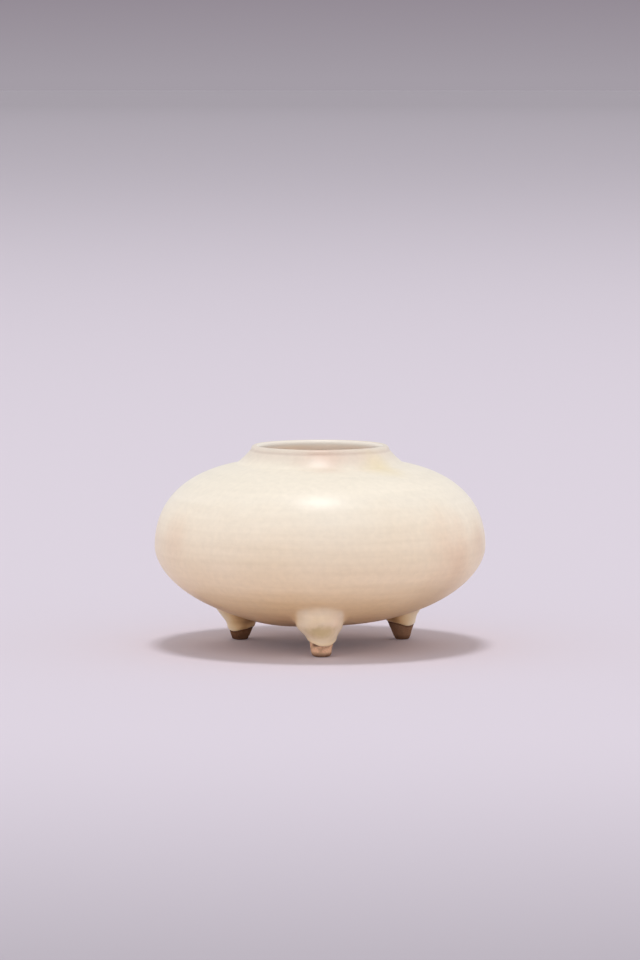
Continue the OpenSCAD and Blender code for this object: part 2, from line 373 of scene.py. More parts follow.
for share, code in tints_and_shades:
    colour = add(tree, "ShaderNodeMix", {"Factor_Float": share, "A_Color": colour,
                                         "B_Color": linear(code)}, data_type="RGBA")
grey = add(tree, "ShaderNodeMath", {0: mottle, 1: streaks}, operation="ADD")
shade = add(tree, "ShaderNodeMapRange", {"Value": grey, "From Min": 0.6, "From Max": 1.4,
                                         "To Min": 0.95, "To Max": 1.05})
colour = add(tree, "ShaderNodeMix", {"Factor_Float": 1, "A_Color": colour, "B_Color": shade},
             data_type="RGBA", blend_type="MULTIPLY")
gloss = add(tree, "ShaderNodeMapRange", {"Value": mottle, "To Min": 0.28, "To Max": 0.36})
peel = add(tree, "ShaderNodeTexNoise", {"Vector": place, "Scale": 1 / PEEL_SIZE, "Detail": 1})
bump = add(tree, "ShaderNodeBump", {"Height": peel, "Distance": PEEL_HEIGHT})
shader = add(tree, "ShaderNodeBsdfPrincipled", {"Base Color": colour, "Roughness": gloss,
                                                "Specular IOR Level": 0.25, "Normal": bump})
add(tree, "ShaderNodeOutputMaterial", {"Surface": shader})
print("nodes in the cream glaze:", len(tree.nodes))

# %% [markdown]
# ## The glaze inside
# The same glaze was poured through the mouth and swirled round. Light that bounces inside a small pot
# takes on the colour of the glaze each time, so the coat is drawn paler than it looks there: painted
# light that lifts the shaded inside. Soft rings follow the wheel, and the lip is less pink, so that it
# goes over into the outer coat.

# %% Inner glaze
RING_SHAPE = Vector((30, 30, 2.4)) * MM
RING_HEIGHT = 0.03 * MM
CLOUD_SIZE = 14 * MM
LIP_FROM = 52.6 * MM
LIP_TO = 53.8 * MM

inner_glaze = new_material("inner_cream_glaze")
tree = inner_glaze.node_tree
place = add(tree, "ShaderNodeTexCoord").outputs["Object"]
squashed = add(tree, "ShaderNodeVectorMath", {0: place, 1: RING_SHAPE}, operation="DIVIDE")
rings = add(tree, "ShaderNodeTexNoise", {"Vector": squashed, "Scale": 1, "Detail": 2})
clouds = add(tree, "ShaderNodeTexNoise", {"Vector": place, "Scale": 1 / CLOUD_SIZE, "Detail": 2})
thin = add(tree, "ShaderNodeMath", {0: rings, 1: clouds}, operation="MULTIPLY")
thin = add(tree, "ShaderNodeMapRange", {"Value": thin, "From Min": 0.12, "From Max": 0.4})
height = add(tree, "ShaderNodeSeparateXYZ", {0: place}).outputs["Z"]
lip = add(tree, "ShaderNodeMapRange", {"Value": height, "From Min": LIP_FROM, "From Max": LIP_TO},
          interpolation_type="SMOOTHSTEP")
colour = linear("#FEEDDE")
for share, code in ((thin, "#FAE1CA"), (lip, "#F6EDE2")):
    colour = add(tree, "ShaderNodeMix", {"Factor_Float": share, "A_Color": colour,
                                         "B_Color": linear(code)}, data_type="RGBA")
gloss = add(tree, "ShaderNodeMapRange", {"Value": clouds, "To Min": 0.36, "To Max": 0.46})
bump = add(tree, "ShaderNodeBump", {"Height": rings, "Distance": RING_HEIGHT})
shader = add(tree, "ShaderNodeBsdfPrincipled", {"Base Color": colour, "Roughness": gloss, "IOR": 1.5,
                                                "Normal": bump})
add(tree, "ShaderNodeOutputMaterial", {"Surface": shader})
print("nodes in the inner glaze:", len(tree.nodes))

# %% [markdown]
# ## Bare clay of the foot tips
# The tips are fired stoneware without a coat: dry, grainy and blotched. The rear feet are darker, the
# left one the darkest, and the front one the palest. A dot product with a direction towards the left
# rear gives that order, and noise adds the blotches.

# %% Bare clay: darker feet and blotches
DARKER_TOWARDS = (-0.3, 1, 0)
DARKER_FROM = -20 * MM
DARKER_TO = 8.5 * MM
BLOTCH_WIDTH = 1.7 * MM

bare_clay = new_material("bare_fired_stoneware")
tree = bare_clay.node_tree
place = add(tree, "ShaderNodeTexCoord").outputs["Object"]
darkening = add(tree, "ShaderNodeVectorMath", {0: place, 1: DARKER_TOWARDS}, operation="DOT_PRODUCT")
darkened = add(tree, "ShaderNodeMapRange", {"Value": darkening, "From Min": DARKER_FROM, "From Max": DARKER_TO})
blotches = add(tree, "ShaderNodeTexNoise", {"Vector": place, "Scale": 1 / BLOTCH_WIDTH, "Detail": 2})
blotch = add(tree, "ShaderNodeMapRange", {"Value": blotches, "From Min": 0.42, "From Max": 0.7,
                                          "To Max": 0.6})
print("flame from the bearing:", round(math.degrees(math.atan2(DARKER_TOWARDS[1], DARKER_TOWARDS[0]))))

# %% [markdown]
# The clay is darker in a line right under the glaze, which the attribute "below_edge" finds, and in one
# oval spot on the front foot, just under the glaze. It is also darker on the worn edge that stands on
# the table: partly wear, and partly painted shade where the foot meets the table. On the pale front
# foot the line is faint. The grain is both a speckle in the colour and a bump, and nothing shines.

# %% Bare clay: dark edges and surface
LINE_FROM = 0.1 * MM
LINE_TO = 0.7 * MM
DARK_SPOT_AT = Vector((-1, -28.6, 3.45)) * MM
DARK_SPOT_SHAPE = Vector((1.9, 1.9, 0.75)) * MM
WORN_FROM = 0.4 * MM
WORN_TO = 1.6 * MM
GRAIN_SIZE = 0.35 * MM
GRAIN_HEIGHT = 0.12 * MM

below = add(tree, "ShaderNodeAttribute", attribute_name="below_edge").outputs["Fac"]
line = add(tree, "ShaderNodeMapRange", {"Value": below, "From Min": LINE_FROM, "From Max": LINE_TO,
                                        "To Min": 0.8, "To Max": 0}, interpolation_type="SMOOTHSTEP")
faint = add(tree, "ShaderNodeMapRange", {"Value": darkened, "To Min": 0.1, "To Max": 1})
line = add(tree, "ShaderNodeMath", {0: line, 1: faint}, operation="MULTIPLY")
dark_spot = add(tree, "ShaderNodeMapping", {"Vector": place, "Location": DARK_SPOT_AT, "Scale": DARK_SPOT_SHAPE},
            vector_type="TEXTURE")
dark_spot = add(tree, "ShaderNodeVectorMath", {0: dark_spot}, operation="LENGTH")
dark_spot = add(tree, "ShaderNodeMapRange", {"Value": dark_spot, "From Min": 0.3, "To Min": 0.8, "To Max": 0},
            interpolation_type="SMOOTHSTEP")
height = add(tree, "ShaderNodeSeparateXYZ", {0: place}).outputs["Z"]
# Partly wear, and partly painted shade where the foot meets the table.
worn_and_shade = add(tree, "ShaderNodeMapRange", {"Value": height, "From Min": WORN_FROM, "From Max": WORN_TO,
                                        "To Min": 0.75, "To Max": 0}, interpolation_type="SMOOTHSTEP")
dark = add(tree, "ShaderNodeMath", {0: line, 1: dark_spot}, operation="MAXIMUM")
dark = add(tree, "ShaderNodeMath", {0: dark, 1: worn_and_shade}, operation="MAXIMUM")
colour = linear("#EBBE9C")
for share, code in ((darkened, "#68462D"), (blotch, "#8C6248"), (dark, "#5A3A28")):
    colour = add(tree, "ShaderNodeMix", {"Factor_Float": share, "A_Color": colour,
                                         "B_Color": linear(code)}, data_type="RGBA")
grains = add(tree, "ShaderNodeTexNoise", {"Vector": place, "Scale": 1 / GRAIN_SIZE, "Detail": 3})
speckle = add(tree, "ShaderNodeMapRange", {"Value": grains, "To Min": 0.75, "To Max": 1.2})
colour = add(tree, "ShaderNodeMix", {"Factor_Float": 1, "A_Color": colour, "B_Color": speckle},
             data_type="RGBA", blend_type="MULTIPLY")
bump = add(tree, "ShaderNodeBump", {"Height": grains, "Distance": GRAIN_HEIGHT})
shader = add(tree, "ShaderNodeBsdfPrincipled", {"Base Color": colour, "Roughness": 0.88,
                                                "Specular IOR Level": 0.3, "Normal": bump})
add(tree, "ShaderNodeOutputMaterial", {"Surface": shader})
print("nodes in the bare clay:", len(tree.nodes))

# %% [markdown]
# ## Clay and slip under the glaze
# The bowls, the mouth ring and the slip in the joints are hidden by the coats, but they are part of
# the pot. The body is buff stoneware with grog in it, and the slip is the same clay let down with
# water, so it is finer and a shade greyer. One small table holds what differs.

# %% Clay and slip
hidden_clays = {}
for name, pale, deep, grain, depth in (("buff_stoneware_body", "#CFA98C", "#B98F70", 0.8, 0.1),
                                       ("fired_luting_slip", "#A89080", "#927A68", 0.3, 0.03)):
    clay = new_material(name)
    tree = clay.node_tree
    place = add(tree, "ShaderNodeTexCoord").outputs["Object"]
    grog = add(tree, "ShaderNodeTexNoise", {"Vector": place, "Scale": 1 / (grain * MM), "Detail": 3})
    colour = add(tree, "ShaderNodeMix", {"Factor_Float": grog, "A_Color": linear(pale),
                                         "B_Color": linear(deep)}, data_type="RGBA")
    bump = add(tree, "ShaderNodeBump", {"Height": grog, "Distance": depth * MM})
    shader = add(tree, "ShaderNodeBsdfPrincipled", {"Base Color": colour, "Roughness": 0.9,
                                                    "Normal": bump})
    add(tree, "ShaderNodeOutputMaterial", {"Surface": shader})
    hidden_clays[name] = clay
print("hidden clays:", ", ".join(hidden_clays))

# %% [markdown]
# ## The section of the pot
# A thrown pot is one section turned round an axis, so the section is worked out first, with the same
# sizes and curves as the construction: a flat-topped curve for the shoulder, a rounder one for the
# base, a bend for the collar and an arc for the lip. A coat is drawn by growing the clay's curves
# outwards.

# %% Section of the pot
BELLY_R = 89.3 / 2 * MM
BELLY_Z = 27.2 * MM
SHOULDER_RISE = 23.4 * MM
BASE_DROP = 21.1 * MM
SHOULDER_FLAT = 3.2
SHOULDER_SWELL = 2.2
BASE_FLAT = 2.2
BASE_SWELL = 1.8
WALL_T = 3.2 * MM
FLOOR_T = 3.6 * MM


def shoulder_z(r, coat):
    share = 1 - (r / (BELLY_R + coat)) ** SHOULDER_FLAT
    return BELLY_Z + (SHOULDER_RISE + coat) * share ** (1 / SHOULDER_SWELL)


def base_z(r, coat):
    share = 1 - (r / (BELLY_R + coat)) ** BASE_FLAT
    return BELLY_Z - (BASE_DROP + coat) * share ** (1 / BASE_SWELL)


def quarter(width, rise, flat, swell, start, end, steps=400):
    angles = [start + (end - start) * i / steps for i in range(steps + 1)]
    return [Vector((width * max(0, math.cos(a)) ** (2 / flat),
                    BELLY_Z + rise * max(0, math.sin(a)) ** (2 / swell))) for a in angles]


def bend(start, corner, end, steps=60):
    shares = [i / steps for i in range(steps + 1)]
    return [start * (1 - t) ** 2 + corner * 2 * t * (1 - t) + end * t ** 2 for t in shares]


print("body from and to in mm:", round((BELLY_Z - BASE_DROP) / MM, 2),
      round((BELLY_Z + SHOULDER_RISE) / MM, 2))

# %% [markdown]
# ## Collar and lip
# The collar leaves the shoulder at a soft bend and leans in to the mouth. The lip is a round bead on
# top of it that stands a little proud, so there is a groove under it. Angles on the bead are measured
# from its centre: zero faces outwards, and a quarter turn is the crest.

# %% Collar and lip
LIP_R = 35.2 / 2 * MM
LIP_T = 1.8 * MM
LIP_STAND = 0.4 * MM
COLLAR_RISE = 4.9 * MM
COLLAR_SPREAD = 4.3 * MM
COLLAR_EASE = 1.3 * MM
COLLAR_FOOT_R = LIP_R + COLLAR_SPREAD
COLLAR_END_R = COLLAR_FOOT_R + COLLAR_EASE
LIP_CREST_Z = shoulder_z(COLLAR_FOOT_R, 0) + COLLAR_RISE
LIP_CENTRE = Vector((LIP_R, LIP_CREST_Z - LIP_T / 2))
COLLAR_NORMAL = math.atan2(COLLAR_SPREAD, COLLAR_RISE - LIP_T / 2)


def direction(angle):
    return Vector((math.cos(angle), math.sin(angle)))


def lip_under_angle(coat):
    return COLLAR_NORMAL - math.acos((LIP_T / 2 - LIP_STAND + coat) / (LIP_T / 2 + coat))


def lip_point(coat, angle):
    return LIP_CENTRE + direction(angle) * (LIP_T / 2 + coat)


print("lip crest in mm:", round(LIP_CREST_Z / MM, 2))

# %% [markdown]
# ## Even steps along a section
# The curves above bunch their points at one end. A mesh shades best when its rings are evenly spaced,
# so each stretch is walked again with steps of one length: under a millimetre on the body, and much
# finer on the lip. Averaging neighbours a few times then eases the corner under the lip, as a melted
# glaze does.

# %% Even steps
def respaced(points, step):
    lengths = [0]
    for a, b in zip(points, points[1:]):
        lengths.append(lengths[-1] + (b - a).length)
    count = max(2, round(lengths[-1] / step))
    walked = []
    i = 0
    for n in range(count + 1):
        goal = lengths[-1] * n / count
        while i < len(points) - 2 and lengths[i + 1] < goal:
            i += 1
        share = (goal - lengths[i]) / (lengths[i + 1] - lengths[i])
        walked.append(points[i].lerp(points[i + 1], min(1, max(0, share))))
    return walked


def eased(points, rounds):
    for _ in range(rounds):
        middle = [(a + b * 2 + c) / 4 for a, b, c in zip(points, points[1:], points[2:])]
        points = [points[0], *middle, points[-1]]
    return points


def smooth_share(x):
    x = min(1, max(0, x))
    return x * x * (3 - 2 * x)


print("points on 10 mm in steps of 1 mm:", len(respaced([Vector((0, 0)), Vector((10 * MM, 0))], MM)))

# %% [markdown]
# ## Sections of the two coats
# The pot was glazed inside by pouring, and then outside by dipping, so the outer coat laps over the
# lip and thins out just inside the mouth. Each section is set a little inside the construction's
# coat, to leave room for the sway of a hand-made pot. Inside, the throat drops upright from the lip
# and bends out under the shoulder.

# %% Sections of the coats
COAT_T = 0.35 * MM
SWAY = 0.1 * MM
COAT_MID = COAT_T - SWAY
LAP_SINK = 0.15 * MM
LAP_START = math.radians(90)
LAP_END = math.radians(172)
POUR_START = math.radians(70)
POUR_FULL = math.radians(130)
BODY_STEP = 0.85 * MM
COLLAR_STEP = 0.2 * MM
LIP_STEPS = 40
EASE_ROUNDS = 3


def collar_angle(width):
    return math.acos((COLLAR_END_R / width) ** (SHOULDER_FLAT / 2))


def lip_run(start, end, sink_from, sink_to):
    run = []
    for i in range(LIP_STEPS + 1):
        angle = start + (end - start) * i / LIP_STEPS
        sink = LAP_SINK * smooth_share((angle - sink_from) / (sink_to - sink_from))
        run.append(lip_point(COAT_MID - sink, angle))
    return run


def outer_section():
    width = BELLY_R + COAT_MID
    rise = SHOULDER_RISE + COAT_MID
    base = quarter(width, -(BASE_DROP + COAT_MID), BASE_FLAT, BASE_SWELL, math.pi / 2, 0)
    shoulder = quarter(width, rise, SHOULDER_FLAT, SHOULDER_SWELL, 0, collar_angle(width))
    corner_r = COLLAR_FOOT_R + COAT_MID / 2
    under = lip_under_angle(COAT_MID)
    collar = bend(Vector((COLLAR_END_R, shoulder_z(COLLAR_END_R, COAT_MID))),
                  Vector((corner_r, shoulder_z(corner_r, COAT_MID))), lip_point(COAT_MID, under))
    lip = lip_run(under, LAP_END, LAP_START, LAP_END)
    body = respaced(base, BODY_STEP) + respaced(shoulder, BODY_STEP)[1:]
    mouth = respaced(collar, COLLAR_STEP) + respaced(lip, COLLAR_STEP / 2)[1:]
    return body[:-1] + eased(mouth, EASE_ROUNDS)


def inner_section():
    width = BELLY_R - WALL_T - COAT_MID
    rise = SHOULDER_RISE - WALL_T - COAT_MID
    drop = BASE_DROP - FLOOR_T - COAT_MID
    shoulder = quarter(width, rise, SHOULDER_FLAT, SHOULDER_SWELL, collar_angle(width), 0)
    base = quarter(width, -drop, BASE_FLAT, BASE_SWELL, 0, math.pi / 2)
    lip = lip_run(POUR_START, math.pi, POUR_FULL, POUR_START)
    throat = bend(lip[-1], Vector((lip[-1].x, shoulder[0].y)), shoulder[0])
    mouth = respaced(lip, COLLAR_STEP / 2) + respaced(throat, COLLAR_STEP)[1:]
    return eased(mouth, EASE_ROUNDS) + respaced(shoulder, BODY_STEP)[1:] + respaced(base, BODY_STEP)[1:]


print("rings outside and inside:", len(outer_section()), len(inner_section()))

# %% [markdown]
# ## Turning a section on the wheel
# A Spin tool could turn the section, but a Geometry Nodes tree keeps the rule and its sizes in one
# place. A flat grid has one row of points for each point of the section, and each row is bent into a
# ring round the axis. Merging by distance closes the seam.

# %% Wheel tree: rings
SEGMENTS = 192
SEAM = 0.001 * MM
TURN_INPUTS = (
    ("Section", "NodeSocketGeometry", None),
    ("Segments", "NodeSocketInt", SEGMENTS),
    ("Sway", "NodeSocketFloat", SWAY),
    ("Sway Size", "NodeSocketFloat", 40 * MM),
    ("Ring Height", "NodeSocketFloat", 0.01 * MM),
    ("Ring Pitch", "NodeSocketFloat", 2.75 * MM),
    ("Seed", "NodeSocketInt", 7),
    ("Glaze", "NodeSocketMaterial", None),
)

turning = bpy.data.node_groups.new("turn_on_wheel", "GeometryNodeTree")
for name, kind, value in TURN_INPUTS:
    socket = turning.interface.new_socket(name, in_out="INPUT", socket_type=kind)
    if value is not None:
        socket.default_value = value
turning.interface.new_socket("Pot", in_out="OUTPUT", socket_type="NodeSocketGeometry")

given = add(turning, "NodeGroupInput").outputs
rings = add(turning, "GeometryNodeAttributeDomainSize", {"Geometry": given["Section"]}, component="MESH")
around = add(turning, "ShaderNodeMath", {0: given["Segments"], 1: 1}, operation="ADD")
grid = add(turning, "GeometryNodeMeshGrid", {"Vertices X": rings, "Vertices Y": around})
index = add(turning, "GeometryNodeInputIndex")
row = add(turning, "ShaderNodeMath", {0: index, 1: around}, operation="DIVIDE")
row = add(turning, "ShaderNodeMath", {0: row}, operation="FLOOR")
step = add(turning, "ShaderNodeMath", {0: index, 1: around}, operation="MODULO")
turn = add(turning, "ShaderNodeMath", {0: step, 1: given["Segments"]}, operation="DIVIDE")
turn = add(turning, "ShaderNodeMath", {0: turn, 1: -math.tau}, operation="MULTIPLY")
position = add(turning, "GeometryNodeInputPosition")
drawn = add(turning, "GeometryNodeSampleIndex", {"Geometry": given["Section"], "Value": position,
                                                 "Index": row}, data_type="FLOAT_VECTOR", domain="POINT")
swung = add(turning, "ShaderNodeVectorRotate", {"Vector": drawn, "Angle": turn}, rotation_type="Z_AXIS")
bent = add(turning, "GeometryNodeSetPosition", {"Geometry": grid, "Position": swung})
closed = add(turning, "GeometryNodeMergeByDistance", {"Geometry": bent, "Distance": SEAM})
print("nodes that turn the rings:", len(turning.nodes))

# %% [markdown]
# Two small shifts then make it a thrown pot and not a lathe part: a slow sway in every direction,
# and the spiral ring that the potter's fingers leave. The spiral is a wave along the height whose
# phase goes round once with the bearing.

# %% Wheel tree: sway and finger rings
finer = add(turning, "ShaderNodeMath", {0: 1, 1: given["Sway Size"]}, operation="DIVIDE")
swell = add(turning, "ShaderNodeTexNoise", {"Vector": position, "W": given["Seed"], "Scale": finer,
                                            "Detail": 1}, noise_dimensions="4D")
sway = add(turning, "ShaderNodeVectorMath", {0: swell.outputs["Color"], 1: (0.5, 0.5, 0.5)},
           operation="SUBTRACT")
doubled = add(turning, "ShaderNodeMath", {0: given["Sway"], 1: 2}, operation="MULTIPLY")
sway = add(turning, "ShaderNodeVectorMath", {0: sway, "Scale": doubled}, operation="SCALE")
axes = add(turning, "ShaderNodeSeparateXYZ", {0: position}).outputs
bearing = add(turning, "ShaderNodeMath", {0: axes["Y"], 1: axes["X"]}, operation="ARCTAN2")
phase = add(turning, "ShaderNodeMath", {0: axes["Z"], 1: given["Ring Pitch"]}, operation="DIVIDE")
phase = add(turning, "ShaderNodeMath", {0: phase, 1: math.tau, 2: bearing}, operation="MULTIPLY_ADD")
wave = add(turning, "ShaderNodeMath", {0: phase}, operation="SINE")
wave = add(turning, "ShaderNodeMath", {0: wave, 1: swell}, operation="MULTIPLY")
wave = add(turning, "ShaderNodeMath", {0: wave, 1: given["Ring Height"]}, operation="MULTIPLY")
normal = add(turning, "GeometryNodeInputNormal")
ring = add(turning, "ShaderNodeVectorMath", {0: normal, "Scale": wave}, operation="SCALE")
shift = add(turning, "ShaderNodeVectorMath", {0: sway, 1: ring}, operation="ADD")
thrown = add(turning, "GeometryNodeSetPosition", {"Geometry": closed, "Offset": shift})
smooth = add(turning, "GeometryNodeSetShadeSmooth", {0: thrown})
real = add(turning, "GeometryNodeRealizeInstances", {0: smooth})
glazed = add(turning, "GeometryNodeSetMaterial", {"Geometry": real, "Material": given["Glaze"]})
add(turning, "NodeGroupOutput", {0: glazed})
print("nodes in the tree:", len(turning.nodes))

# %% [markdown]
# ## The two coats
# The tree runs on a string of points, the section, and its result is kept as a plain mesh. The
# inside has coarser rings than the outside, because a potter smooths the outside with a rib.

# %% Coats of glaze
INNER_RINGS = 0.06 * MM


def turned(name, section, **inputs):
    points = [(p.x, 0, p.y) for p in section]
    line = bpy.data.meshes.new(name + "_section")
    line.from_pydata(points, [(i, i + 1) for i in range(len(points) - 1)], [])
    holder = show(name + "_section", line)
    wheel = holder.modifiers.new("wheel", "NODES")
    wheel.node_group = turning
    for item in turning.interface.items_tree:
        if item.in_out == "INPUT" and item.name in inputs:
            wheel[item.identifier] = inputs[item.name]
    seen = bpy.context.evaluated_depsgraph_get()
    mesh = bpy.data.meshes.new_from_object(holder.evaluated_get(seen))
    mesh.name = name
    mesh.materials.clear()
    mesh.materials.append(inputs["Glaze"])
    bpy.data.objects.remove(holder)
    print(name, "has", len(mesh.vertices), "points and", len(mesh.polygons), "faces")
    return show(name, mesh)


outer_coat = turned("outer_glaze_coat", outer_section(), Glaze=cream_glaze)
inner_coat = turned("inner_glaze_coat", inner_section(), Glaze=inner_glaze, **{"Ring Height": INNER_RINGS})

# %% [markdown]
# ## Sizes of the feet
# Each foot is a tapered lump of clay, pressed on by hand, so no two are alike. A table with a column
# for each foot shows what differs: the front one is the stoutest. All stand on one circle, moved
# sideways by "shift". The side starts from a worn round "worn_r", widens from "tip_r" to "root_r",
# along a curve if "flare" isn't 1, and stops at "knee_r", or "knee_out" further on the outward side.
# Above "spread_from" a rear foot spreads into the body. The root leans to one bearing, and "press" is
# the depth of a thumb mark. "hollow_out" and "hollow_in" are the lengths of the fillet under the body,
# on the outward side and under the pot. The glaze stops at "edge" above the table, lower by "drip" at
# one bearing, in a roll "roll_t" thick. "glaze_out" and "glaze_in" are the heights
# on the body whose glaze colour the foot's skin has, on the outward side and under the pot; on the rear
# feet they also paint light on the outward side and shade under the pot. That skin reaches "glaze_to"
# past the root, and no wider than "glaze_left" and "glaze_right", as seen by someone who faces the foot.

# %% Sizes of the feet
FOOT_NODES = ("foot_front", "foot_left", "foot_right")
FOOT_LENGTHS = {
    "shift": (0.4, 0.34, 0.32),
    "root_r": (7.4, 5.6, 5.5),
    "tip_r": (2.65, 2.3, 2.1),
    "knee_r": (6.2, 4.4, 4),
    "knee_out": (1.2, 2.2, 2.2),
    "spread_from": (9, 4.8, 6.8),
    "worn_r": (1.1, 0.8, 0.8),
    "lean": (0.6, 0.6, 0.7),
    "press": (0.8, 0, 0),
    "hollow_out": (2.8, 2.5, 2.5),
    "hollow_in": (1.3, 1.5, 1.5),
    "edge": (4.2, 3.5, 5.1),
    "drip": (1.15, 1.1, 1.1),
    "roll_t": (0.2, 0.06, 0.06),
    # On the rear feet these two heights also paint light on the outward side and shade under the pot.
    "glaze_out": (22, 22, 30),
    "glaze_in": (31, 6.6, 9),
    "glaze_to": (3.4, 2, 2),
    "glaze_left": (5.9, 20, 20),
    "glaze_right": (5.1, 20, 20),
}
FOOT_BEARINGS = {"bearing": (270, 150, 30), "lean_bearing": (180, 0, 180), "drip_bearing": (285, 235, 310)}
FOOT_SHARES = {"flare": (1.7, 1, 1), "spread": (0, 0.5, 0.35), "seed": (11, 23, 37)}

FEET = []
for i, node in enumerate(FOOT_NODES):
    foot = SimpleNamespace(node=node)
    for table, unit in ((FOOT_LENGTHS, MM), (FOOT_BEARINGS, math.radians(1)), (FOOT_SHARES, 1)):
        for name, values in table.items():
            setattr(foot, name, values[i] * unit)
    FEET.append(foot)
print("feet:", ", ".join(FOOT_NODES))

# %% [markdown]
# ## Shape of a foot
# One function gives the reach of the clay's side at any height and bearing, and the glaze is drawn
# over the same side. The knee is a soft minimum of two radii, the lumps are noise, and the thumb mark
# is pressed in at one place. Another function gives the height where the glaze stops.

# %% Shape of a foot
FOOT_CIRCLE_R = 51.4 / 2 * MM
FOOT_EDGE_R = 0.5 * MM
FOOT_H = base_z(FOOT_CIRCLE_R, 0)
KNEE_EASE = 0.35 * MM
LUMP = 0.2 * MM
LUMP_SIZE = 4 * MM
LUMP_RISE = 3
PRESS_BEARING = math.radians(195)
PRESS_Z = 4.8 * MM
PRESS_REACH = 2.8 * MM
EDGE_WAVE = 0.2 * MM
EDGE_WAVES = 1.6
DRIP_NARROW = 1.5


def foot_axis(foot):
    return direction(foot.bearing) * FOOT_CIRCLE_R + Vector((foot.shift, 0))


def by_side(foot, angle, outward, inward):
    share = smooth_share((1 + math.cos(angle - foot.bearing)) / 2)
    return inward + (outward - inward) * share


def foot_side(foot, z, angle):
    share = max(0, z - FOOT_EDGE_R) / (FOOT_H - FOOT_EDGE_R)
    cone = foot.tip_r + (foot.root_r - foot.tip_r) * share ** foot.flare
    knee = foot.knee_r + foot.knee_out * max(0, math.cos(angle - foot.bearing)) ** 2
    radius = -KNEE_EASE * math.log(math.exp(-cone / KNEE_EASE) + math.exp(-knee / KNEE_EASE))
    spread = by_side(foot, angle, foot.spread, 0) * max(0, z - foot.spread_from)
    lean = foot.lean * min(1, share) * math.cos(angle - foot.lean_bearing)
    spot = (direction(angle) * radius).to_3d() + Vector((0, 0, z))
    lump = noise.noise(spot / LUMP_SIZE + Vector((foot.seed, 0, foot.seed)))
    press = foot.press * max(0, math.cos(angle - PRESS_BEARING)) ** 2
    press *= 1 - smooth_share(abs(z - PRESS_Z) / PRESS_REACH)
    return radius + spread + lean - press + LUMP * lump * min(1, share * LUMP_RISE)


def glaze_edge(foot, angle):
    wave = noise.noise((direction(angle) * EDGE_WAVES).to_3d() + Vector((0, 0, foot.seed)))
    drip = max(0, math.cos(angle - foot.drip_bearing)) ** DRIP_NARROW
    return foot.edge - foot.drip * drip + EDGE_WAVE * wave


print("foot height in mm:", round(FOOT_H / MM, 2))

# %% [markdown]
# ## Underside
# The clay floor sagged a little in the kiln, towards the left front, so the underside hangs lower
# there than the turned section. A foot meets the underside in a corner, which a few rounds of trial
# find: the foot's reach at a height gives a new height, and so on until both agree.

# %% Underside
SAG = 0.55 * MM
SAG_AT = Vector((-13, -9)) * MM
SAG_REACH = 16 * MM
CORNER_ROUNDS = 20


def sag(plan):
    return SAG * (1 - smooth_share((plan - SAG_AT).length / SAG_REACH))


def underside(foot, reach, angle, coat):
    plan = foot_axis(foot) + direction(angle) * reach
    return base_z(plan.length, coat) - sag(plan)


def root_corner(foot, angle, coat, skin):
    reach = foot.root_r
    for _ in range(CORNER_ROUNDS):
        reach = foot_side(foot, underside(foot, reach, angle, coat), angle) + skin
    return Vector((reach, underside(foot, reach, angle, coat)))


print("sag in mm:", round(SAG / MM, 2))

# %% [markdown]
# ## Glaze over the feet
# The outer coat has to run from the underside down over each root in one skin. New rings lead from
# the coat to the foot: over the underside, round a hollow fillet, down the side, and over a rolled
# edge that ends inside the clay. A profile holds the reach and height of all rings at one bearing.

# %% Profile of the glaze on a foot
APPROACH_RINGS = 6
FILLET_RINGS = 10
SIDE_RINGS = 10
FILLET_DOWN = 0.9
ROLL_H = 1.5 * MM
NOSE_H = 0.45 * MM
NOSE_RINGS = (1.5, 1.2, 0.9, 0.65, 0.45, 0.3, 0.18, 0.09, 0.03, 0)
TUCK = 0.2 * MM


def coat_over_foot(foot, above):
    roll = foot.roll_t * max(0, 1 - (above / ROLL_H) ** 2)
    nose = math.sqrt(max(0, 1 - (1 - min(1, above / NOSE_H)) ** 2))
    return (COAT_MID + roll) * nose


def foot_profile(foot, angle, start_reach, start_z):
    corner = root_corner(foot, angle, COAT_MID, COAT_MID)
    hollow = by_side(foot, angle, foot.hollow_out, foot.hollow_in)
    outer = Vector((corner.x + hollow, underside(foot, corner.x + hollow, angle, COAT_MID)))
    low = corner.y - hollow * FILLET_DOWN
    inner = Vector((foot_side(foot, low, angle) + COAT_MID, low))
    lift = start_z - underside(foot, start_reach, angle, COAT_MID)
    points = []
    for i in range(1, APPROACH_RINGS):
        t = i / APPROACH_RINGS
        out = start_reach + (outer.x - start_reach) * t
        points.append((out, underside(foot, out, angle, COAT_MID) + lift * (1 - smooth_share(t))))
    points += [tuple(p) for p in bend(outer, corner, inner, FILLET_RINGS)]
    edge = glaze_edge(foot, angle)
    top = edge + NOSE_RINGS[0] * MM
    heights = [low + (top - low) * i / SIDE_RINGS for i in range(1, SIDE_RINGS)]
    heights += [edge + above * MM for above in NOSE_RINGS]
    points += [(foot_side(foot, z, angle) + coat_over_foot(foot, z - edge), z) for z in heights]
    points.append((foot_side(foot, edge, angle) - TUCK, edge + TUCK))
    return points, corner, edge


print("rings on a foot:", APPROACH_RINGS + FILLET_RINGS + SIDE_RINGS + len(NOSE_RINGS))

# %% [markdown]
# ## Look of the glaze on a foot
# A foot's skin has the colour of another height on the body: the front foot is pale, and the rear
# ones brown towards the pot, which is painted shade under the body, and paler on the outward side,
# which is partly painted light. The lift to that height eases in at the root and at the sides, and
# noise makes it blotchy.

# %% Look of the glaze on a foot
GLAZE_FADE = 2.4 * MM
SIDE_FADE = 1.3 * MM
BLOTCH = 4 * MM
BLOTCH_SIZE = 2.5 * MM


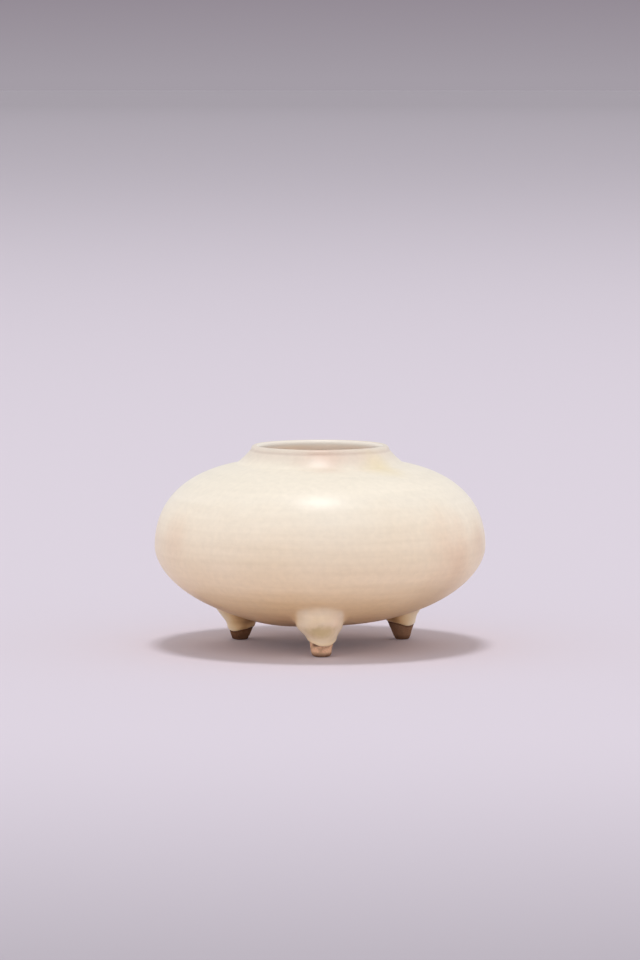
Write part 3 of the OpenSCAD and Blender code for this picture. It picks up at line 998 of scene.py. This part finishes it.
def glaze_lift(foot, angle, reach, root_reach, spot):
    aside = reach * math.sin(angle - foot.bearing)
    wide = foot.glaze_left if aside < 0 else foot.glaze_right
    on_foot = smooth_share((root_reach + foot.glaze_to - reach) / GLAZE_FADE)
    on_foot *= 1 - smooth_share((abs(aside) - wide) / SIDE_FADE)
    coat = by_side(foot, angle, foot.glaze_out, foot.glaze_in) + BLOTCH * noise.noise(spot / BLOTCH_SIZE)
    return (coat - spot.z) * on_foot


print("fade at the root in mm:", round(GLAZE_FADE / MM, 1))

# %% [markdown]
# ## Skin over the feet
# A window is cut out of the coat round each foot, and the new rings fill it. Each ring has as many
# points as the window's rim, so every face has four corners. Away from the feet "above_edge" is far
# more than any edge needs.

# %% Skin over the feet
WINDOW_REACH = 14.5 * MM
FAR_ABOVE = 20 * MM


def in_window(foot, spot):
    out = direction(foot.bearing)
    plan = spot.to_2d()
    turn = math.atan2(out.x * plan.y - out.y * plan.x, out.dot(plan))
    near = abs(plan.length - FOOT_CIRCLE_R) < WINDOW_REACH
    return spot.z < BELLY_Z and near and abs(turn) * FOOT_CIRCLE_R < WINDOW_REACH


def grow_foot(shell, foot, above_edge, foot_lift):
    window = [f for f in shell.faces if in_window(foot, f.calc_center_median())]
    corners = {v for f in window for v in f.verts}
    bmesh.ops.delete(shell, geom=window, context="FACES")
    axis = foot_axis(foot)
    rim = [v for v in corners if v.is_valid]
    rim.sort(key=lambda v: math.atan2(v.co.y - axis.y, v.co.x - axis.x))
    columns = []
    for v in rim:
        plan = v.co.to_2d() - axis
        angle = math.atan2(plan.y, plan.x)
        column = [v]
        points, corner, edge = foot_profile(foot, angle, plan.length, v.co.z)
        for reach, z in points:
            spot = (direction(angle) * reach + axis).to_3d() + Vector((0, 0, z))
            made = shell.verts.new(spot)
            made[above_edge] = z - edge
            made[foot_lift] = glaze_lift(foot, angle, reach, corner.x, spot)
            column.append(made)
        columns.append(column)
    for left, right in zip(columns, columns[1:] + columns[:1]):
        for i in range(len(left) - 1):
            face = shell.faces.new((left[i], left[i + 1], right[i + 1], right[i]))
            face.smooth = True
    return len(rim)


shell = bmesh.new()
shell.from_mesh(outer_coat.data)
above_edge = shell.verts.layers.float.new("above_edge")
foot_lift = shell.verts.layers.float.new("foot_lift")
for v in shell.verts:
    v[above_edge] = FAR_ABOVE
    if v.co.z < BELLY_Z:
        v.co.z -= sag(v.co.to_2d())
for foot in FEET:
    print(foot.node, "skin has", grow_foot(shell, foot, above_edge, foot_lift), "columns")
shell.to_mesh(outer_coat.data)
shell.free()

# %% [markdown]
# ## Thickness of the coats
# A glaze is a thin layer of glass, here a quarter of a millimetre. The Solidify modifier grows it
# inwards from the surface that shows, and closes it along its edges, which are buried in the clay.

# %% Thickness of the coats
for coat in (outer_coat, inner_coat):
    thickness = coat.modifiers.new("glass_layer", "SOLIDIFY")
    thickness.thickness = COAT_MID
    thickness.offset = -1
    thickness.use_rim = True
print("coat thickness in mm:", round(COAT_MID / MM, 2))

# %% [markdown]
# ## Surface of the bare tips
# The glaze was wiped off the tips so that the pot wouldn't stick to the kiln shelf. The bare clay is
# rough, and its lower edge is worn round where the pot stands. A column holds the reach and height of
# points from the resting face up to the slip, roughened by noise at two sizes: coarse grit and fine.

# %% Column of a foot tip
SLIP_T = 0.4 * MM
FACE_SHARES = (0.3, 0.6, 0.85, 1)
WORN_RINGS = 6
TIP_RINGS = 24
TIP_RING = 0.22 * MM
ROOT_RINGS = 4
GRIT = 0.1 * MM
GRIT_SIZE = 1.5 * MM
FINE_GRIT = 0.04 * MM
FINE_GRIT_SIZE = 0.5 * MM
ROUGH_FROM = 0.8
ROUGH_EASE = 0.3
ROUGH_TO = 6 * MM


def rough(foot, spot):
    seed = Vector((foot.seed, foot.seed * 2, 0))
    coarse = GRIT * noise.noise(spot / GRIT_SIZE + seed)
    return coarse + FINE_GRIT * noise.noise(spot / FINE_GRIT_SIZE + seed)


def tip_column(foot, angle):
    face_r = foot.tip_r - foot.worn_r
    points = [(face_r * share, 0) for share in FACE_SHARES]
    for i in range(1, WORN_RINGS + 1):
        a = math.pi / 2 * i / WORN_RINGS
        points.append((face_r + foot.worn_r * math.sin(a), foot.worn_r * (1 - math.cos(a))))
    top = root_corner(foot, angle, SLIP_T, 0).y
    heights = [foot.worn_r + TIP_RING * i for i in range(1, TIP_RINGS + 1)]
    heights += [heights[-1] + (top - heights[-1]) * i / ROOT_RINGS for i in range(1, ROOT_RINGS + 1)]
    points += [(foot_side(foot, z, angle), z) for z in heights]
    column = []
    for r, z in points:
        spot = (direction(angle) * r).to_3d() + Vector((0, 0, z))
        share = smooth_share((r - face_r * ROUGH_FROM) / (face_r * ROUGH_EASE)) if z < ROUGH_TO else 0
        column.append((r + share * rough(foot, spot), z))
    return column


print("points in a column:", len(tip_column(FEET[0], 0)))

# %% [markdown]
# ## Bare foot tips
# Columns all round the axis make the tip, with one point in the middle of each end. The attribute
# "below_edge" tells the material how far a point lies under the edge of the glaze.

# %% Bare foot tips
TIP_COLUMNS = 72


def make_tip(foot):
    axis = foot_axis(foot)
    tip = bmesh.new()
    below_edge = tip.verts.layers.float.new("below_edge")
    bottom = tip.verts.new(axis.to_3d())
    bottom[below_edge] = foot.edge
    columns = []
    for i in range(TIP_COLUMNS):
        angle = math.tau * i / TIP_COLUMNS
        column = []
        for r, z in tip_column(foot, angle):
            made = tip.verts.new((axis + direction(angle) * r).to_3d() + Vector((0, 0, z)))
            made[below_edge] = glaze_edge(foot, angle) - z
            column.append(made)
        columns.append(column)
    top = tip.verts.new((axis.x, axis.y, base_z(axis.length, SLIP_T)))
    for left, right in zip(columns, columns[1:] + columns[:1]):
        tip.faces.new((bottom, right[0], left[0]))
        for i in range(len(left) - 1):
            tip.faces.new((left[i], right[i], right[i + 1], left[i + 1]))
        tip.faces.new((left[-1], right[-1], top))
    for face in tip.faces:
        face.smooth = True
    mesh = bpy.data.meshes.new(foot.node + "_clay")
    tip.to_mesh(mesh)
    tip.free()
    mesh.materials.append(bare_clay)
    return show(foot.node + "_clay", mesh)


tips = {foot.node: make_tip(foot) for foot in FEET}
print("faces of a tip:", len(tips["foot_front"].data.polygons))

# %% [markdown]
# ## Hand over to the frame
# Each piece rides on the pot's one body, and the node that it stands for is hidden. The bowls, the
# mouth ring and the slip lie under the glaze and keep their shape.

# %% Hand over
for piece, node, slot in ((outer_coat, "outer_glaze", "cream_glaze"),
                          (inner_coat, "inner_glaze", "inner_cream_glaze"),
                          *((tips[foot.node], foot.node, "bare_foot_clay") for foot in FEET)):
    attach(piece, "root")
    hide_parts(node)

for node in ("lower_bowl", "upper_bowl", "mouth_ring", "belly_slip", "neck_slip", "foot_slip"):
    clay = "fired_luting_slip" if node.endswith("slip") else "buff_stoneware_body"
    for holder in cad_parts[node].material_slots:
        holder.material = hidden_clays[clay]

bpy.context.view_layer.update()
